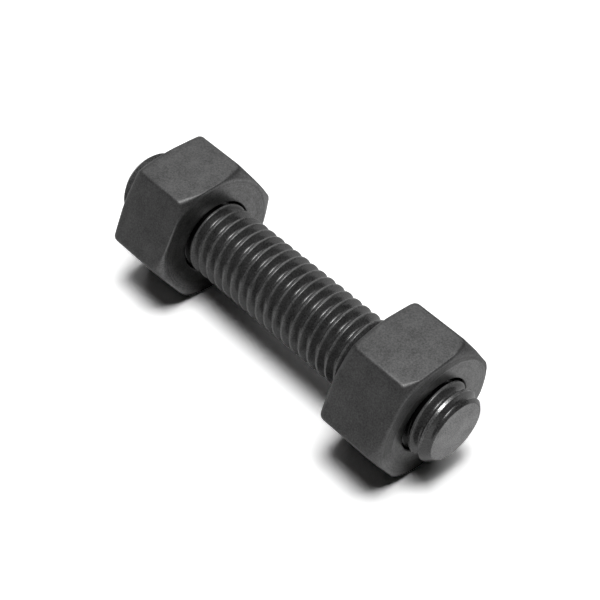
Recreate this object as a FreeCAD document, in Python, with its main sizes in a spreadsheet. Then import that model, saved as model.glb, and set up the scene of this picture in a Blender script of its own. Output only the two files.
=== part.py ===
import FreeCAD, Part
import math
import os

import Sketcher


# Driving dimensions in millimetres and degrees: a half inch stud with heavy hexagon nuts
SIZES = [
    ("across_flats", 21.8),
    ("nut_thickness", 12.2),
    ("corner_radius", 0.7),
    ("face_step", 0.85),
    ("face_angle", 30),
    ("stud_diameter", 12.48),
    ("thread_clearance", 0.08),
    ("countersink_step", 0.35),
    ("countersink_angle", 60),
    ("end_chamfer_step", 1.1),
    ("end_chamfer_angle", 45),
    ("grip_length", 36.6),
    ("near_projection", 4.1),
    ("far_projection", 5.3),
]

# Sizes worked out from the driving ones
FLAT_RADIUS = "sizes.across_flats / 2"
CORNER_CIRCLE = "sizes.across_flats / cos(30)"
STUD_RADIUS = "sizes.stud_diameter / 2"
BORE_RADIUS = "(sizes.stud_diameter / 2 + sizes.thread_clearance)"
END_CHAMFER_LENGTH = "(sizes.end_chamfer_step * tan(sizes.end_chamfer_angle))"
STUD_LENGTH = (
    "(sizes.near_projection + sizes.far_projection"
    " + sizes.grip_length + 2 * sizes.nut_thickness)"
)
NEAR_NUT_START = f"({STUD_LENGTH} / 2 - sizes.near_projection - sizes.nut_thickness)"
FAR_NUT_START = f"({NEAR_NUT_START} - sizes.grip_length - sizes.nut_thickness)"

# How far a turning tool's profile runs past the surface that it cuts, in millimetres
OVERRUN = "1"

ORIGIN_POINT = (-1, 1)

doc = FreeCAD.newDocument("double_ended_stud")


def make_sheet():
    sheet = doc.addObject("Spreadsheet::Sheet", "sizes")
    for row, (name, value) in enumerate(SIZES, start=1):
        sheet.set(f"A{row}", name)
        sheet.set(f"B{row}", str(value))
        sheet.setAlias(f"B{row}", name)
    doc.recompute()
    return sheet


def value_of(expression):
    result = sizes.evalExpression(expression)
    return float(getattr(result, "Value", result))


def new_sketch(body, name, role):
    sketch = body.newObject("Sketcher::SketchObject", name)
    plane = next(item for item in body.Origin.OriginFeatures if item.Role == role)
    sketch.AttachmentSupport = [(plane, "")]
    sketch.MapMode = "FlatFace"
    return sketch


def join_ends(sketch, lines):
    for index, line in enumerate(lines):
        following = lines[(index + 1) % len(lines)]
        sketch.addConstraint(Sketcher.Constraint("Coincident", line, 2, following, 1))


def pin_corner(sketch, line, across, up):
    """Hold the first end of a line at the place that two expressions give."""
    for kind, in_line, expression in (
        ("DistanceX", "Vertical", across),
        ("DistanceY", "Horizontal", up),
    ):
        if expression == "0":
            sketch.addConstraint(Sketcher.Constraint(in_line, *ORIGIN_POINT, line, 1))
            continue
        start = value_of(expression)
        held = Sketcher.Constraint(kind, *ORIGIN_POINT, line, 1, start)
        index = sketch.addConstraint(held)
        sketch.setExpression(f"Constraints[{index}]", expression)


def draw_outline(sketch, corners):
    """A closed outline, each corner given as a pair of expressions."""
    points = [FreeCAD.Vector(value_of(x), value_of(y), 0) for x, y in corners]
    lines = []
    for index, point in enumerate(points):
        following = points[(index + 1) % len(points)]
        lines.append(sketch.addGeometry(Part.LineSegment(point, following)))
    join_ends(sketch, lines)
    for line, (x, y) in zip(lines, corners):
        pin_corner(sketch, line, x, y)


def draw_hexagon(sketch, circle_diameter):
    """A regular hexagon in a construction circle, with a flat on each side of the vertical axis."""
    radius = value_of(circle_diameter) / 2
    centre = FreeCAD.Vector(0, 0, 0)
    upward = FreeCAD.Vector(0, 0, 1)
    circle = sketch.addGeometry(Part.Circle(centre, upward, radius), True)
    sketch.addConstraint(Sketcher.Constraint("Coincident", circle, 3, *ORIGIN_POINT))
    angles = [math.radians(60 * index - 30) for index in range(6)]
    points = [FreeCAD.Vector(radius * math.cos(a), radius * math.sin(a), 0) for a in angles]
    lines = []
    for index, point in enumerate(points):
        following = points[(index + 1) % len(points)]
        lines.append(sketch.addGeometry(Part.LineSegment(point, following)))
    join_ends(sketch, lines)
    for line in lines:
        sketch.addConstraint(Sketcher.Constraint("PointOnObject", line, 1, circle))
    for line in lines[1:]:
        sketch.addConstraint(Sketcher.Constraint("Equal", lines[0], line))
    sketch.addConstraint(Sketcher.Constraint("Vertical", lines[0]))
    held = Sketcher.Constraint("Diameter", circle, 2 * radius)
    index = sketch.addConstraint(held)
    sketch.setExpression(f"Constraints[{index}]", circle_diameter)


def draw_circle(sketch, radius_expression):
    radius = value_of(radius_expression)
    centre = FreeCAD.Vector(0, 0, 0)
    upward = FreeCAD.Vector(0, 0, 1)
    circle = sketch.addGeometry(Part.Circle(centre, upward, radius))
    sketch.addConstraint(Sketcher.Constraint("Coincident", circle, 3, *ORIGIN_POINT))
    index = sketch.addConstraint(Sketcher.Constraint("Radius", circle, radius))
    sketch.setExpression(f"Constraints[{index}]", radius_expression)


def lay_along_x(body, start):
    """Turn the body's own axis to the stud's axis, half a nut's width above the ground."""
    turn = FreeCAD.Rotation(FreeCAD.Vector(0, 1, 0), 90)
    body.Placement = FreeCAD.Placement(FreeCAD.Vector(0, 0, 0), turn)
    body.setExpression("Placement.Base.x", start)
    body.setExpression("Placement.Base.z", FLAT_RADIUS)


def check_cut(before, feature):
    if feature.Shape.Volume >= before.Shape.Volume:
        raise RuntimeError(f"{feature.Label} removes nothing")


def make_stud():
    """The bar at its major diameter, turned to a chamfer at both ends."""
    body = doc.addObject("PartDesign::Body", "stud")
    body.Label = "stud"
    profile = new_sketch(body, "stud_profile", "XZ_Plane")
    end_radius = f"{STUD_RADIUS} - sizes.end_chamfer_step"
    draw_outline(profile, [
        ("0", "0"),
        (end_radius, "0"),
        (STUD_RADIUS, END_CHAMFER_LENGTH),
        (STUD_RADIUS, f"{STUD_LENGTH} - {END_CHAMFER_LENGTH}"),
        (end_radius, STUD_LENGTH),
        ("0", STUD_LENGTH),
    ])
    bar = body.newObject("PartDesign::Revolution", "stud_bar")
    bar.Profile = profile
    bar.ReferenceAxis = (profile, ["V_Axis"])
    bar.Angle = 360
    lay_along_x(body, f"-{STUD_LENGTH} / 2")
    return body


def face_cutters():
    """Outlines that a turning tool removes from a nut: both outer cones, then both countersinks."""
    inner = f"({FLAT_RADIUS} - sizes.face_step)"
    outer = f"({CORNER_CIRCLE} / 2 + {OVERRUN})"
    fall = f"(({outer} - {inner}) * tan(sizes.face_angle))"
    mouth = f"({BORE_RADIUS} + sizes.countersink_step)"
    throat = f"({BORE_RADIUS} - {OVERRUN})"
    sink = f"(({mouth} - {throat}) * tan(sizes.countersink_angle))"
    top = "sizes.nut_thickness"
    return [
        [(inner, "0"), (outer, "0"), (outer, fall)],
        [(inner, top), (outer, f"{top} - {fall}"), (outer, top)],
        [(throat, "0"), (mouth, "0"), (throat, sink)],
        [(throat, top), (throat, f"{top} - {sink}"), (mouth, top)],
    ]


def make_nut(name, start):
    """A hexagon bar, its corners eased, bored, and turned at both faces."""
    body = doc.addObject("PartDesign::Body", name)
    body.Label = name

    hexagon = new_sketch(body, f"{name}_hexagon", "XY_Plane")
    draw_hexagon(hexagon, CORNER_CIRCLE)
    bar = body.newObject("PartDesign::Pad", f"{name}_bar")
    bar.Profile = hexagon
    bar.setExpression("Length", "sizes.nut_thickness")
    doc.recompute()

    long_edges = []
    for index, edge in enumerate(bar.Shape.Edges, start=1):
        low, high = edge.Vertexes[0].Z, edge.Vertexes[-1].Z
        if abs(high - low) > value_of("sizes.nut_thickness") / 2:
            long_edges.append(f"Edge{index}")
    eased = body.newObject("PartDesign::Fillet", f"{name}_corners")
    eased.Base = (bar, long_edges)
    eased.setExpression("Radius", "sizes.corner_radius")
    doc.recompute()

    circle = new_sketch(body, f"{name}_bore_circle", "XY_Plane")
    draw_circle(circle, BORE_RADIUS)
    bore = body.newObject("PartDesign::Pocket", f"{name}_bore")
    bore.Profile = circle
    bore.Type = "ThroughAll"
    bore.Reversed = True
    doc.recompute()
    check_cut(eased, bore)

    cutters = new_sketch(body, f"{name}_face_cutters", "XZ_Plane")
    for corners in face_cutters():
        draw_outline(cutters, corners)
    turned = body.newObject("PartDesign::Groove", f"{name}_turned_faces")
    turned.Profile = cutters
    turned.ReferenceAxis = (cutters, ["V_Axis"])
    turned.Angle = 360
    doc.recompute()
    check_cut(bore, turned)

    lay_along_x(body, start)
    return body


def check_document():
    for item in doc.Objects:
        bad = {"Invalid", "Error"} & set(item.State)
        if bad:
            raise RuntimeError(f"{item.Label} is {', '.join(sorted(bad))}")


def write_parts(bodies):
    os.makedirs("parts", exist_ok=True)
    for body in bodies:
        shape = body.Shape
        if shape.isNull() or not shape.isValid() or len(shape.Solids) != 1:
            raise RuntimeError(f"{body.Label} is not one valid solid")
        shape.exportStep(f"parts/{body.Label}.step")
        print(body.Label, "volume", round(shape.Volume, 2), "cubic millimetres")


sizes = make_sheet()
pieces = [
    make_stud(),
    make_nut("near_nut", NEAR_NUT_START),
    make_nut("far_nut", FAR_NUT_START),
]
doc.recompute()
check_document()
write_parts(pieces)
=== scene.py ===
import math

import bmesh
import bpy
import numpy as np
from mathutils import Matrix, Vector


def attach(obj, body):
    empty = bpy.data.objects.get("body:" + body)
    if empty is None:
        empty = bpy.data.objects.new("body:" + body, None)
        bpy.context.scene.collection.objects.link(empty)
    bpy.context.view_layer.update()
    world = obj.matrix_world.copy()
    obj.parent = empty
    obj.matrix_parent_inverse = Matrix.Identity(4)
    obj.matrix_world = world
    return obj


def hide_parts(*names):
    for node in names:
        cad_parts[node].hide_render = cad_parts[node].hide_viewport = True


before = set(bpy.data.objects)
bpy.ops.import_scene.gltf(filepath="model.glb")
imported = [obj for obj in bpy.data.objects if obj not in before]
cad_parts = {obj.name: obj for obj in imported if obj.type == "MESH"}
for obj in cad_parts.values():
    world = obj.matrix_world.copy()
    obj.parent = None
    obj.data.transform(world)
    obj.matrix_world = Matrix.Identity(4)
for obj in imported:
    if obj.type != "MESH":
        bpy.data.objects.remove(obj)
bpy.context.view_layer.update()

# Every length below is in millimetres and every angle in degrees, unless it says otherwise
MM = 0.001

# The photograph's camera, its focal length and centre in pixels
IMAGE_SIZE = 600
SENSOR = 36.0
CAMERA_TARGET = (0.392, -0.008, 10.9)
CAMERA_AZIMUTH = 47.739
CAMERA_ELEVATION = 47.963
CAMERA_DISTANCE = 223.77
CAMERA_FOCAL = 1441.3
CAMERA_ROLL = 0.127
CAMERA_CENTRE = (292.0, 298.2)
CAMERA_CLIP = 10

# The largest share of a side that the easing of one of its corners may take
MOST_OF_SIDE = 0.45

# Hexagon nuts
ACROSS_FLATS = 21.8
NUT_THICKNESS = 12.2
NUT_STARTS = {"near_nut": 18.9, "far_nut": -29.9}
CORNER_RADIUS = 0.71
SIDE_STEPS = 20
CORNER_STEPS = 8
FACE_EDGE_ROUND = 0.9
SIDE_EDGE_ROUND = 1.3
BORE_RADIUS = 5.45
COUNTERSINK_RADIUS = 6.65
COUNTERSINK_DEPTH = 1.5
COUNTERSINK_ROUND = 0.12

# The turned cone at each nut's far face: how far inside the flats it starts, and its angle
FACE_STEP = 1.7
FACE_ANGLE = 16.0

# The turned cone at each nut's near face: the radius of the circle where it starts, how far
# the circle stands off centre and in which direction, and the cone's angle
NEAR_FACES = {
    "near_nut": (11.0, 0.2, 130.0, 36.0),
    "far_nut": (10.7, 0.25, 170.0, 30.0),
}
LEAST_FACE_STEP = 0.3

# Stud and its thread
AXIS_HEIGHT = ACROSS_FLATS / 2
STUD_RADIUS = 6.24
STUD_LENGTH = 70.4
PITCH = 25.4 / 13
FLANK_ANGLE = 60.0
CREST_HALF_WIDTH = 0.174
CREST_ROUND = 0.13
ROOT_ROUND = 0.31
ROOT_SHARES = (1.0, 0.7, 0.45, 0.2, 0.0)
TAP_CLEARANCE = 0.08
THREAD_COLUMNS = 96

# The chamfered ends, the near one turned a little off centre across and up
END_RADIUS = 5.1
END_SHIFT = (0.18, -0.04)
END_ROUND = 0.12
END_OVERRUN = 1.0

# Where one crest stands along the stud on its side towards +Y
CREST_PLACE = -17.74

# The crest next to the near end is worn flat: where its middle stands along the stud, the slope
# and start of the wear, and the share of a turn over which it is full and then fades
WORN_PLACE = 33.64
WORN_SLOPE = 0.3
WORN_START = 0.35
WORN_SPAN = 0.125

SHARP_ANGLE = 35

# The oxide's grain and the softer mottle that it is mixed with, in spots for each metre, and
# the range of the noise that is used
GRAIN_SCALE = 4200
MOTTLE_SCALE = 420
GRAIN_SHARE = 0.65
GRAIN_RANGE = (0.3, 0.7)

# The nuts' oxide, on the flats and on the turned faces, where the squared lengthwise part of
# the normal passes from one to the other, and the strength and depth of the bumps
NUT_TONES = (0.128, 0.208)
NUT_METALLIC = (0.7, 0.9)
NUT_ROUGHNESS = (0.49, 0.31)
NUT_TURNED = (0.5, 0.85)
NUT_SPECULAR = 0.5
NUT_GRAIN = 0.42
NUT_BUMP = (0.4, 0.06)

# Fine rings left by the turning tool on the faces
RING_SCALE = 2600
RING_RANGE = (0.35, 0.65)
RING_CONTRAST = 0.12
RINGS_START = (0.6, 0.95)

# The near nut's outer face is bright inside a circle that stands off centre across and up. On its
# upper part a thin painted highlight lightens the circle's rim, and painted shade outside the
# circle darkens the face and makes it less metallic and rougher
BRIGHT_RADIUS = 9.75
BRIGHT_CENTRE = (1.07, -0.9)
BRIGHT_HEIGHT = (-3.0, 0.0)
BRIGHT_START = (28.0, 29.0)
FACE_SHADE_EDGE = (-0.15, 0.05)
FACE_SHADE_CHANGE = -0.8
HIGHLIGHT_RIM_EDGE = (0.05, 0.2)
HIGHLIGHT_RIM_CHANGE = 0.4

# Painted shade: each nut's mouth is painted black from just inside the countersink's rim down to
# this depth
MOUTH_SHADE_RIM = (0.2, 0.05)
MOUTH_SHADE_DEPTH = (1.3, 1.7)

# The stud's oxide in the groove and on the worn crests
THREAD_TONE = 0.047
CREST_TONE = 0.088
CREST_RADII = (6.13, 6.2)
STUD_ROUGHNESS = 0.24
STUD_SPECULAR = 0.88
STUD_GRAIN = 0.7
STUD_BUMP = (0.3, 0.05)

# The sawn steel of the ends, and how far from the face and from its rim it begins
END_TONE = 0.26
END_METALLIC = 0.65
SAWN_DEPTH = (0.06, 0.03)
SAWN_RIM = (0.05, 0.02)

# Painted light: the stud's tone is raised beyond the far nut
FAR_END_LIGHT_PLACES = (-30.4, -29.9)
FAR_END_LIGHT_GAIN = 2.2

# Bare metal on the upper side of the crest next to each end
BARE_PLACES = (33.3, 33.5)
BARE_RADII = (6.0, 6.06)
BARE_HEIGHTS = (0.5, 4.0)
BARE_TONE = 0.15
BARE_METALLIC = 0.5

# Painted shade in the groove at each nut's faces: how far it reaches out of the nut and into it
GROOVE_SHADE_OUTWARD = (0.4, 1.0)
GROOVE_SHADE_INWARD = (1.3, 0.9)
GROOVE_SHADE_RADII = (5.85, 6.15)
GROOVE_SHADE_CHANGE = -0.85

# The floor as it lights the object, and as the camera sees it near the object and far away
FLOOR_HALF = 1000.0
FLOOR_TONE = 0.68
FLOOR_SEEN_TONE = 1.566
FLOOR_FAR_TONE = 3.0 * FLOOR_SEEN_TONE
FLOOR_FADE = (200.0, 1000.0)

# Square lights: the direction from the object's middle, the width, and the power in watts
LIGHT_DISTANCE = 1500
LIGHTS = {
    "overhead": ((0.06, -0.026, 0.998), 576, 16.6),
    "back_right": ((0.262, 0.336, 0.905), 600, 3.0),
    "back_left": ((-0.604, 0.438, 0.666), 900, 2.4),
    "low_left": ((-0.7, 0.7, 0.139), 900, 1.5),
}


def round_corner(before, corner, after, radius, steps):
    """Points of an arc that eases one corner of a section, never longer than the sides allow."""
    before, corner, after = (np.array(p, float) for p in (before, corner, after))
    back, ahead = before - corner, after - corner
    back_length, ahead_length = np.linalg.norm(back), np.linalg.norm(ahead)
    back, ahead = back / back_length, ahead / ahead_length
    turn = math.pi - math.acos(max(-1.0, min(1.0, float(back @ ahead))))
    longest = MOST_OF_SIDE * min(back_length, ahead_length)
    reach = min(radius * math.tan(turn / 2), longest)
    radius = reach / math.tan(turn / 2)
    inward = back + ahead
    inward /= np.linalg.norm(inward)
    across = (ahead - back) / np.linalg.norm(ahead - back)
    centre = corner + inward * radius / math.cos(turn / 2)
    points = []
    for step in range(steps + 1):
        swing = -turn / 2 + turn * step / steps
        outward = inward * radius * math.cos(swing)
        points.append(centre - outward + across * radius * math.sin(swing))
    return points


def thread_section():
    """One pitch of the thread, crest to crest: distance along the stud and fall from the crest."""
    flank = math.radians(FLANK_ANGLE)
    sharp_depth = (PITCH / 2 - CREST_HALF_WIDTH) * math.tan(flank)
    depth = sharp_depth - ROOT_ROUND * (1 / math.cos(flank) - 1)
    crest_edge = CREST_HALF_WIDTH - CREST_ROUND * math.tan(flank / 2)
    half = [(0.0, 0.0)]
    for tilt in (0.0, flank / 3, flank * 2 / 3, flank):
        place = crest_edge + CREST_ROUND * math.sin(tilt)
        half.append((place, CREST_ROUND * (1 - math.cos(tilt))))
    root = []
    for tilt in (flank * share for share in ROOT_SHARES):
        place = PITCH / 2 - ROOT_ROUND * math.sin(tilt)
        root.append((place, depth - ROOT_ROUND * (1 - math.cos(tilt))))
    half.append(tuple((before + after) / 2 for before, after in zip(half[-1], root[0])))
    half += root
    mirrored = [(PITCH - x, fall) for x, fall in reversed(half[1:-1])]
    return half + mirrored


def link_mesh(name, vertices, faces):
    """A mesh object from points in millimetres, its faces turned outward."""
    mesh = bpy.data.meshes.new(name)
    mesh.from_pydata([tuple(float(c) * MM for c in v) for v in vertices], [], faces)
    work = bmesh.new()
    work.from_mesh(mesh)
    bmesh.ops.recalc_face_normals(work, faces=work.faces)
    work.to_mesh(mesh)
    work.free()
    obj = bpy.data.objects.new(name, mesh)
    bpy.context.collection.objects.link(obj)
    return obj


def ring_faces(first, second, size):
    """The faces between two rings of points, given the number of each ring's first point."""
    faces = []
    for step in range(size):
        ahead = (step + 1) % size
        faces.append((first + step, first + ahead, second + ahead, second + step))
    return faces


def make_thread(name, low, high, swell, wear):
    """A closed right-hand thread over a stretch of the axis.

    It is swollen by a clearance, and one crest is worn by the slope given as wear.
    """
    section = thread_section()
    rows = len(section)
    first = math.floor((low - CREST_PLACE) / PITCH) - 1
    turns = math.ceil((high - CREST_PLACE) / PITCH) - first
    columns = THREAD_COLUMNS
    last = rows * turns

    def index(row, column):
        if column == columns:
            row, column = row + rows, 0
        return row if column == 0 else last + rows + 1 + (column - 1) * (last + 1) + row

    def point(row, column):
        along, fall = section[row % rows]
        turn = 2 * math.pi * column / columns
        crest = CREST_PLACE + (first + row // rows + column / columns) * PITCH
        beside = along if along < PITCH / 2 else along - PITCH
        apart = abs(crest + along - beside - WORN_PLACE) / PITCH
        worn = min(1.0, max(0.0, 2.0 - apart / WORN_SPAN))
        fall = max(fall, worn * wear * (beside + WORN_START))
        r = STUD_RADIUS + swell - fall
        return crest + along, r * math.cos(turn), AXIS_HEIGHT + r * math.sin(turn)

    vertices = [point(row, 0) for row in range(last + rows + 1)]
    for column in range(1, columns):
        vertices += [point(row, column) for row in range(last + 1)]
    faces = []
    for row in range(last):
        for column in range(columns):
            faces.append((index(row, column), index(row, column + 1),
                          index(row + 1, column + 1), index(row + 1, column)))
    for start in (0, last):
        ring = [index(start, column) for column in range(columns)]
        ring += [index(start + step, 0) for step in range(rows, 0, -1)]
        middle = CREST_PLACE + (first + start // rows + 0.5) * PITCH
        vertices.append((middle, 0.0, AXIS_HEIGHT))
        for place, corner in enumerate(ring):
            faces.append((corner, ring[(place + 1) % len(ring)], len(vertices) - 1))
    return link_mesh(name, vertices, faces)


def make_ring(name, sections):
    """A solid from closed sections, one after another round the axis."""
    count, size = len(sections), len(sections[0])
    vertices = [point for section in sections for point in section]
    faces = []
    for place in range(count):
        following = (place + 1) % count
        faces += ring_faces(place * size, following * size, size)
    return link_mesh(name, vertices, faces)


def make_envelope():
    """The turned outline that ends the thread: flat faces, rounded rims and chamfers."""
    end = STUD_LENGTH / 2
    outside = STUD_RADIUS + END_OVERRUN
    shoulder = end - (outside - END_RADIUS)
    rim = round_corner((end, 0), (end, END_RADIUS), (shoulder, outside), END_ROUND, 4)
    profile = [tuple(p) for p in rim] + [(shoulder, outside)]
    profile = profile + [(-x, r) for x, r in reversed(profile)]
    columns = THREAD_COLUMNS
    vertices, faces = [], []
    for x, r in profile:
        across, up = END_SHIFT if x > 0 else (0.0, 0.0)
        for column in range(columns):
            turn = 2 * math.pi * (column + 0.5) / columns
            height = AXIS_HEIGHT + up + r * math.sin(turn)
            vertices.append((x, across + r * math.cos(turn), height))
    for ring in range(len(profile) - 1):
        faces += ring_faces(ring * columns, (ring + 1) * columns, columns)
    faces.append(tuple(range(columns)))
    faces.append(tuple(range((len(profile) - 1) * columns, len(profile) * columns)))
    return link_mesh("envelope", vertices, faces)


def apply_cut(obj, tool, operation):
    """Cut one solid with another and leave only the result."""
    modifier = obj.modifiers.new("cut", "BOOLEAN")
    modifier.object = tool
    modifier.operation = operation
    modifier.solver = "EXACT"
    graph = bpy.context.evaluated_depsgraph_get()
    result = bpy.data.meshes.new_from_object(obj.evaluated_get(graph))
    obj.modifiers.clear()
    obj.data = result
    bpy.data.objects.remove(tool)
    if not result.polygons:
        raise RuntimeError(f"{obj.name} is empty after its cut")


def smooth(obj):
    obj.data.shade_smooth()
    obj.data.set_sharp_from_angle(angle=math.radians(SHARP_ANGLE))


def hexagon_outline():
    """Points round the nut's outline as angle and radius, close together at the eased corners."""
    flat = ACROSS_FLATS / 2
    half_side = (flat - CORNER_RADIUS) * math.tan(math.radians(30))
    corner_centre = (flat - CORNER_RADIUS) / math.cos(math.radians(30))
    points = []
    for side in range(6):
        normal = math.radians(30 + 60 * side)
        for step in range(SIDE_STEPS + 1):
            across = half_side * (2 * step / SIDE_STEPS - 1)
            points.append((normal + math.atan2(across, flat), math.hypot(across, flat)))
        for step in range(1, CORNER_STEPS):
            swing = normal + math.radians(60 * step / CORNER_STEPS)
            corner = normal + math.radians(30)
            y = corner_centre * math.cos(corner) + CORNER_RADIUS * math.cos(swing)
            z = corner_centre * math.sin(corner) + CORNER_RADIUS * math.sin(swing)
            points.append((math.atan2(z, y), math.hypot(y, z)))
    return points


def nut_section(outline_radius, near_circle, near_angle):
    """A half section of the nut at one angle, as distance from the far side and radius."""
    far_circle = ACROSS_FLATS / 2 - FACE_STEP
    far_fall = (outline_radius - far_circle) * math.tan(math.radians(FACE_ANGLE))
    near_circle = min(near_circle, outline_radius - LEAST_FACE_STEP)
    near_fall = (outline_radius - near_circle) * math.tan(math.radians(near_angle))
    middle = NUT_THICKNESS / 2
    corners = [
        ((0.0, COUNTERSINK_RADIUS), COUNTERSINK_ROUND, 2),
        ((0.0, far_circle), FACE_EDGE_ROUND, 3),
        ((far_fall, outline_radius), SIDE_EDGE_ROUND, 4),
        ((middle, outline_radius), 0, 0),
        ((NUT_THICKNESS - near_fall, outline_radius), SIDE_EDGE_ROUND, 4),
        ((NUT_THICKNESS, near_circle), FACE_EDGE_ROUND, 3),
        ((NUT_THICKNESS, COUNTERSINK_RADIUS), COUNTERSINK_ROUND, 2),
        ((NUT_THICKNESS - COUNTERSINK_DEPTH, BORE_RADIUS), 0, 0),
        ((middle, BORE_RADIUS), 0, 0),
        ((COUNTERSINK_DEPTH, BORE_RADIUS), 0, 0),
    ]
    places = [corner for corner, _, _ in corners]
    points = []
    for place, (corner, radius, steps) in enumerate(corners):
        if steps:
            following = places[(place + 1) % len(places)]
            points += round_corner(places[place - 1], corner, following, radius, steps)
        else:
            points.append(corner)
    return points


def make_nut(name):
    """A nut with its internal thread, its near face turned a little off centre."""
    start = NUT_STARTS[name]
    face_radius, shift, bearing, face_angle = NEAR_FACES[name]
    sections = []
    for angle, radius in hexagon_outline():
        circle = face_radius + shift * math.cos(angle - math.radians(bearing))
        sections.append([
            (start + x, r * math.cos(angle), AXIS_HEIGHT + r * math.sin(angle))
            for x, r in nut_section(radius, circle, face_angle)
        ])
    nut = make_ring(name + "_steel", sections)
    tap = make_thread("tap", start - PITCH, start + NUT_THICKNESS + PITCH, TAP_CLEARANCE, 0.0)
    apply_cut(nut, tap, "DIFFERENCE")
    smooth(nut)
    return nut


def make_stud():
    end = STUD_LENGTH / 2
    stud = make_thread("stud_steel_bar", -end - PITCH, end + PITCH, 0.0, WORN_SLOPE)
    apply_cut(stud, make_envelope(), "INTERSECT")
    smooth(stud)
    return stud


def new_material(name):
    material = bpy.data.materials.new(name)
    material.use_nodes = True
    return material, material.node_tree.nodes, material.node_tree.links


def add_node(nodes, kind, **settings):
    node = nodes.new("ShaderNode" + kind)
    for name, value in settings.items():
        setattr(node, name, value)
    return node


def combine(material, operation, first, second, third=None):
    """A math node over links or plain numbers."""
    node = add_node(material.node_tree.nodes, "Math", operation=operation)
    for index, item in enumerate((first, second, third)):
        if isinstance(item, (int, float)):
            node.inputs[index].default_value = item
        elif item is not None:
            material.node_tree.links.new(item, node.inputs[index])
    return node.outputs["Value"]


def product(material, first, *others):
    for other in others:
        first = combine(material, "MULTIPLY", first, other)
    return first


def change_by(material, value, mask, change):
    """The value times one plus the change, as far as the mask lets it."""
    return product(material, value, combine(material, "MULTIPLY_ADD", mask, change, 1.0))


def distance(material, across, up):
    square = combine(material, "MULTIPLY_ADD", up, up, product(material, across, across))
    return combine(material, "SQRT", square, 0.0)


def spread(material, value, start, result=(0.0, 1.0)):
    """Map a value from one stretch to another, held at both ends."""
    node = add_node(material.node_tree.nodes, "MapRange")
    for name, number in zip(("From Min", "From Max", "To Min", "To Max"), (*start, *result)):
        node.inputs[name].default_value = number
    material.node_tree.links.new(value, node.inputs["Value"])
    return node.outputs["Result"]


def fade(material, length, places, result=(0.0, 1.0)):
    """Map a length between two places in millimetres to another stretch."""
    low, high = places
    return spread(material, length, (low * MM, high * MM), result)


def noise(material, place, scale, detail):
    node = add_node(material.node_tree.nodes, "TexNoise")
    node.inputs["Scale"].default_value = scale
    node.inputs["Detail"].default_value = detail
    material.node_tree.links.new(place, node.inputs["Vector"])
    return node.outputs["Fac"]


def coordinates(material):
    """The place on the piece, then its parts along, across and above the axis, and its radius."""
    nodes, links = material.node_tree.nodes, material.node_tree.links
    place = add_node(nodes, "TexCoord").outputs["Object"]
    parts = add_node(nodes, "SeparateXYZ")
    links.new(place, parts.inputs["Vector"])
    along, across = parts.outputs["X"], parts.outputs["Y"]
    height = combine(material, "SUBTRACT", parts.outputs["Z"], AXIS_HEIGHT * MM)
    return place, along, across, height, distance(material, across, height)


def within_nuts(material, along, inner, outer):
    """1 where a place is within the inner distance of a nut's middle, 0 past the outer one."""
    parts = []
    for start in NUT_STARTS.values():
        apart = combine(material, "SUBTRACT", along, (start + NUT_THICKNESS / 2) * MM)
        apart = combine(material, "ABSOLUTE", apart, 0.0)
        parts.append(fade(material, apart, (inner, outer), (1.0, 0.0)))
    return combine(material, "ADD", *parts)


def grained(material, place, tone, amount):
    """A fine grain, and a tone broken up by it and by a soft mottle."""
    grain = noise(material, place, GRAIN_SCALE, 2)
    mottle = product(material, noise(material, place, MOTTLE_SCALE, 3), 1 - GRAIN_SHARE)
    both = combine(material, "MULTIPLY_ADD", grain, GRAIN_SHARE, mottle)
    factor = spread(material, both, GRAIN_RANGE, (1 - amount, 1 + amount))
    return grain, product(material, tone, factor)


def add_bump(material, height, strength, reach):
    bump = add_node(material.node_tree.nodes, "Bump")
    bump.inputs["Strength"].default_value = strength
    bump.inputs["Distance"].default_value = reach * MM
    material.node_tree.links.new(height, bump.inputs["Height"])
    shader = material.node_tree.nodes["Principled BSDF"]
    material.node_tree.links.new(bump.outputs["Normal"], shader.inputs["Normal"])


def turning_rings(material, radius):
    """A small change of tone up and down in rings round the axis."""
    rings = add_node(material.node_tree.nodes, "TexNoise", noise_dimensions="1D")
    rings.inputs["Scale"].default_value = RING_SCALE
    rings.inputs["Detail"].default_value = 2
    material.node_tree.links.new(radius, rings.inputs["W"])
    return spread(material, rings.outputs["Fac"], RING_RANGE, (-RING_CONTRAST, RING_CONTRAST))


def outer_face_masks(material, along, across, height):
    """The painted shade on the upper part of the near nut's outer face, and the painted highlight
    on the thin rim of its bright circle.
    """
    across = combine(material, "SUBTRACT", across, BRIGHT_CENTRE[0] * MM)
    up = combine(material, "SUBTRACT", height, BRIGHT_CENTRE[1] * MM)
    reach = distance(material, across, up)
    upper = product(
        material,
        fade(material, height, BRIGHT_HEIGHT),
        fade(material, along, BRIGHT_START),
    )
    face_shade = fade(material, reach, [BRIGHT_RADIUS + beyond for beyond in FACE_SHADE_EDGE])
    near, far = HIGHLIGHT_RIM_EDGE
    rim = product(
        material,
        fade(material, reach, (BRIGHT_RADIUS - far, BRIGHT_RADIUS - near)),
        fade(material, reach, (BRIGHT_RADIUS + near, BRIGHT_RADIUS + far), (1.0, 0.0)),
    )
    return product(material, face_shade, upper), product(material, rim, upper)


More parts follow.
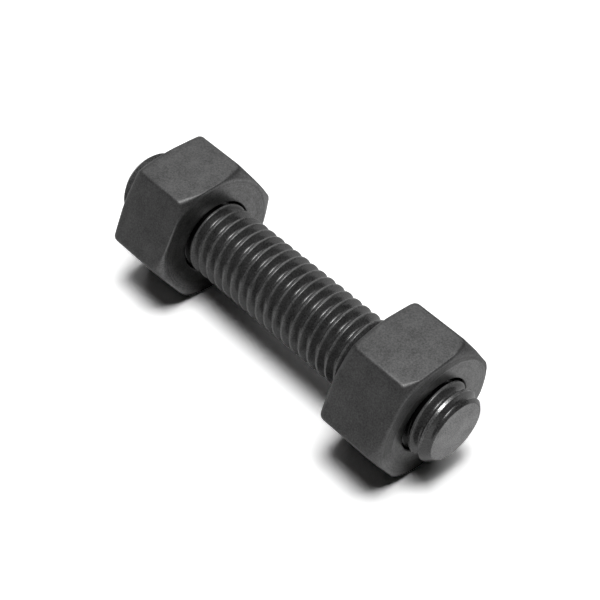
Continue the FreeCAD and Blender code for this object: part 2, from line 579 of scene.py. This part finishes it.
def nut_material():
    """Matt black oxide over steel, with faint turning marks on the faces, painted shade in the
    mouths and on the upper part of the near face, and a painted highlight on that face.
    """
    material, nodes, links = new_material("nut_black_oxide")
    shader = nodes["Principled BSDF"]
    place, along, across, height, radius = coordinates(material)

    facing = add_node(nodes, "SeparateXYZ")
    links.new(add_node(nodes, "NewGeometry").outputs["True Normal"], facing.inputs["Vector"])
    square = product(material, facing.outputs["X"], facing.outputs["X"])
    # Painted shade darkens and dulls the near face's upper part outside its circle, and a painted
    # highlight lightens the circle's rim
    face_shade, rim = outer_face_masks(material, along, across, height)
    turned = change_by(material, spread(material, square, NUT_TURNED), face_shade, FACE_SHADE_CHANGE)

    # Painted shade: each mouth is black, with no metal and no specular, between the countersink's
    # rim and its depth
    outside = fade(material, radius, [COUNTERSINK_RADIUS - width for width in MOUTH_SHADE_RIM])
    shallow, deep = (NUT_THICKNESS / 2 - depth for depth in MOUTH_SHADE_DEPTH)
    inside = within_nuts(material, along, deep, shallow)
    clear_of_mouth_shade = combine(material, "MAXIMUM", outside, inside)

    tone = spread(material, turned, (0.0, 1.0), NUT_TONES)
    on_face = spread(material, square, RINGS_START)
    tone = change_by(material, tone, on_face, turning_rings(material, radius))
    # Painted highlight on the rim of the near face's circle
    tone = change_by(material, tone, rim, HIGHLIGHT_RIM_CHANGE)
    grain, tone = grained(material, place, product(material, tone, clear_of_mouth_shade), NUT_GRAIN)
    metallic = spread(material, turned, (0.0, 1.0), NUT_METALLIC)
    roughness = spread(material, turned, (0.0, 1.0), NUT_ROUGHNESS)
    specular = product(material, clear_of_mouth_shade, NUT_SPECULAR)
    links.new(tone, shader.inputs["Base Color"])
    links.new(product(material, clear_of_mouth_shade, metallic), shader.inputs["Metallic"])
    links.new(specular, shader.inputs["Specular IOR Level"])
    links.new(roughness, shader.inputs["Roughness"])
    add_bump(material, grain, *NUT_BUMP)
    return material


def sawn_end(material, from_middle, radius):
    """1 on the flat faces that end the stud."""
    return product(
        material,
        fade(material, from_middle, [STUD_LENGTH / 2 - depth for depth in SAWN_DEPTH]),
        fade(material, radius, [END_RADIUS - width for width in SAWN_RIM], (1.0, 0.0)),
    )


def shaded_groove(material, along, radius):
    """1 where painted shade darkens the groove at the nuts' faces."""
    mouth = NUT_THICKNESS / 2
    reached = within_nuts(material, along, *(mouth + length for length in GROOVE_SHADE_OUTWARD))
    covered = within_nuts(material, along, *(mouth - depth for depth in GROOVE_SHADE_INWARD))
    return product(
        material,
        combine(material, "SUBTRACT", reached, covered),
        fade(material, radius, GROOVE_SHADE_RADII, (1.0, 0.0)),
    )


def stud_material():
    """Black oxide in the thread, crests worn brighter, and sawn steel at the ends, with painted
    shade in the groove at the nuts' faces and painted light beyond the far nut.
    """
    material, nodes, links = new_material("stud_black_oxide")
    shader = nodes["Principled BSDF"]
    place, along, _, height, radius = coordinates(material)

    from_middle = combine(material, "ABSOLUTE", along, 0.0)
    end = sawn_end(material, from_middle, radius)
    groove_shade = shaded_groove(material, along, radius)
    bare_crest = product(
        material,
        fade(material, from_middle, BARE_PLACES),
        fade(material, radius, BARE_RADII),
        fade(material, height, BARE_HEIGHTS),
    )

    tone = fade(material, radius, CREST_RADII, (THREAD_TONE, CREST_TONE))
    # Painted light lifts the stud's tone beyond the far nut
    far_end_light = fade(material, along, FAR_END_LIGHT_PLACES, (FAR_END_LIGHT_GAIN, 1.0))
    tone = product(material, tone, far_end_light)
    tone = combine(material, "MULTIPLY_ADD", end, END_TONE - THREAD_TONE, tone)
    tone = combine(material, "MULTIPLY_ADD", bare_crest, BARE_TONE, tone)
    # Painted shade darkens the groove at the nuts' faces
    tone = change_by(material, tone, groove_shade, GROOVE_SHADE_CHANGE)
    grain, tone = grained(material, place, tone, STUD_GRAIN)
    metallic = product(material, end, END_METALLIC)
    metallic = combine(material, "MULTIPLY_ADD", bare_crest, BARE_METALLIC, metallic)
    # The painted shade in the groove also weakens its specular
    specular = combine(material, "MULTIPLY_ADD", groove_shade, GROOVE_SHADE_CHANGE, 1.0)
    specular = product(material, specular, STUD_SPECULAR)
    links.new(tone, shader.inputs["Base Color"])
    links.new(metallic, shader.inputs["Metallic"])
    links.new(specular, shader.inputs["Specular IOR Level"])
    shader.inputs["Roughness"].default_value = STUD_ROUGHNESS
    add_bump(material, grain, *STUD_BUMP)
    return material


def looking_at(target, away, reach):
    """A placement at a distance from the target, turned to look at it."""
    turn = (-away).to_track_quat("-Z", "Y").to_matrix().to_4x4()
    return Matrix.Translation(target + away * reach * MM) @ turn


def make_camera():
    azimuth = math.radians(CAMERA_AZIMUTH)
    elevation = math.radians(CAMERA_ELEVATION)
    away = Vector((
        math.sin(azimuth) * math.cos(elevation),
        -math.cos(azimuth) * math.cos(elevation),
        math.sin(elevation),
    ))
    data = bpy.data.cameras.new("camera")
    data.sensor_width = SENSOR
    data.lens = CAMERA_FOCAL / IMAGE_SIZE * SENSOR
    data.shift_x = (IMAGE_SIZE / 2 - CAMERA_CENTRE[0]) / IMAGE_SIZE
    data.shift_y = (CAMERA_CENTRE[1] - IMAGE_SIZE / 2) / IMAGE_SIZE
    data.clip_start = CAMERA_CLIP * MM
    camera = bpy.data.objects.new("camera", data)
    bpy.context.collection.objects.link(camera)
    roll = Matrix.Rotation(math.radians(CAMERA_ROLL), 4, "Z")
    camera.matrix_world = looking_at(Vector(CAMERA_TARGET) * MM, away, CAMERA_DISTANCE) @ roll
    bpy.context.scene.camera = camera


def make_light(name, direction, width, power):
    """A square soft light that looks at the middle of the object."""
    data = bpy.data.lights.new(name, "AREA")
    data.shape = "SQUARE"
    data.size = width * MM
    data.energy = power
    light = bpy.data.objects.new(name, data)
    bpy.context.collection.objects.link(light)
    middle = Vector((0, 0, AXIS_HEIGHT)) * MM
    light.matrix_world = looking_at(middle, Vector(direction).normalized(), LIGHT_DISTANCE)


def make_floor():
    """A wide white floor that the camera sees brighter than it lights the object."""
    half = FLOOR_HALF
    corners = [(-half, -half, 0), (half, -half, 0), (half, half, 0), (-half, half, 0)]
    floor = link_mesh("floor", corners, [(0, 1, 2, 3)])
    material, nodes, links = new_material("floor_white")
    nodes.remove(nodes["Principled BSDF"])
    surface = add_node(nodes, "BsdfDiffuse")
    away = add_node(nodes, "VectorMath", operation="LENGTH")
    links.new(add_node(nodes, "TexCoord").outputs["Object"], away.inputs[0])
    seen = fade(material, away.outputs["Value"], FLOOR_FADE, (FLOOR_SEEN_TONE, FLOOR_FAR_TONE))
    tone = add_node(nodes, "MapRange")
    tone.inputs["To Min"].default_value = FLOOR_TONE
    links.new(seen, tone.inputs["To Max"])
    links.new(add_node(nodes, "LightPath").outputs["Is Camera Ray"], tone.inputs["Value"])
    links.new(tone.outputs["Result"], surface.inputs["Color"])
    links.new(surface.outputs["BSDF"], nodes["Material Output"].inputs["Surface"])
    floor.data.materials.append(material)


def make_world():
    """White where the camera looks past the floor, and dark for everything else."""
    world = bpy.data.worlds.new("studio")
    bpy.context.scene.world = world
    world.use_nodes = True
    nodes, links = world.node_tree.nodes, world.node_tree.links
    background = nodes["Background"]
    background.inputs["Color"].default_value = (1, 1, 1, 1)
    seen = add_node(nodes, "LightPath").outputs["Is Camera Ray"]
    links.new(seen, background.inputs["Strength"])


stud = make_stud()
stud.data.materials.clear()
stud.data.materials.append(stud_material())
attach(stud, "stud")
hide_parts("stud")

nut_steel = nut_material()
for nut_name in NUT_STARTS:
    nut = make_nut(nut_name)
    nut.data.materials.clear()
    nut.data.materials.append(nut_steel)
    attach(nut, nut_name)
    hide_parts(nut_name)

make_floor()
make_world()
for light_name, settings in LIGHTS.items():
    make_light(light_name, *settings)
make_camera()
bpy.context.scene.view_settings.view_transform = "Standard"
